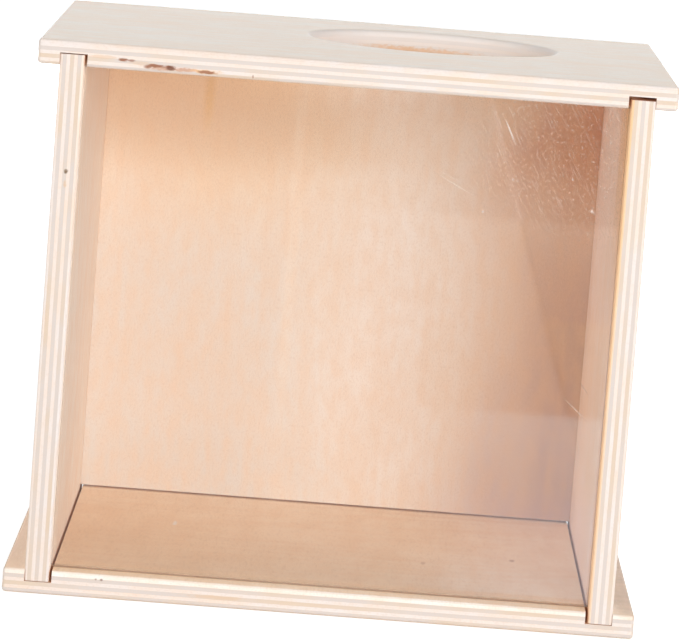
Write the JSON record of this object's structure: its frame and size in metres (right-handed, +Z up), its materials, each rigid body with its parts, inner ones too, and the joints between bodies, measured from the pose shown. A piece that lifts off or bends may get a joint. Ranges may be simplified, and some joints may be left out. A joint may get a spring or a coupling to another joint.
{
  "type": "hamster digging box",
  "caption": "Plywood digging box for a hamster, with housed side panels, a clear sliding front pane and a lift-off lid with a round way in.",
  "frame": {"origin": "middle of the underside of the base, on the surface that the box stands on", "axes": "+X along the front, to the right of someone who faces the pane; the pane faces -Y; +Z up"},
  "size_m": [0.232, 0.2, 0.2035],
  "materials": {
    "birch_plywood": "bare sanded birch plywood, seven veneers showing at every edge",
    "clear_acrylic": "clear cast acrylic sheet, polished faces with light scratches"
  },
  "bodies": {
    "case": {"base_panel": "birch_plywood", "left_side": "birch_plywood", "right_side": "birch_plywood", "back_panel": "birch_plywood"},
    "lid": {"lid": "birch_plywood"},
    "pane": {"window_pane": "clear_acrylic"}
  },
  "joints": [
    {"name": "lid_lift", "type": "slide", "parent": "case", "child": "lid", "axis": [0, 0, 1], "range_m": [0, 0.24]},
    {"name": "pane_slide", "type": "slide", "parent": "case", "child": "pane", "axis": [0, 0, 1], "range_m": [0, 0.192]}
  ],
  "couplings": [
    {"joint": "pane_slide", "follows": "lid_lift", "ratio": 0.8}
  ]
}
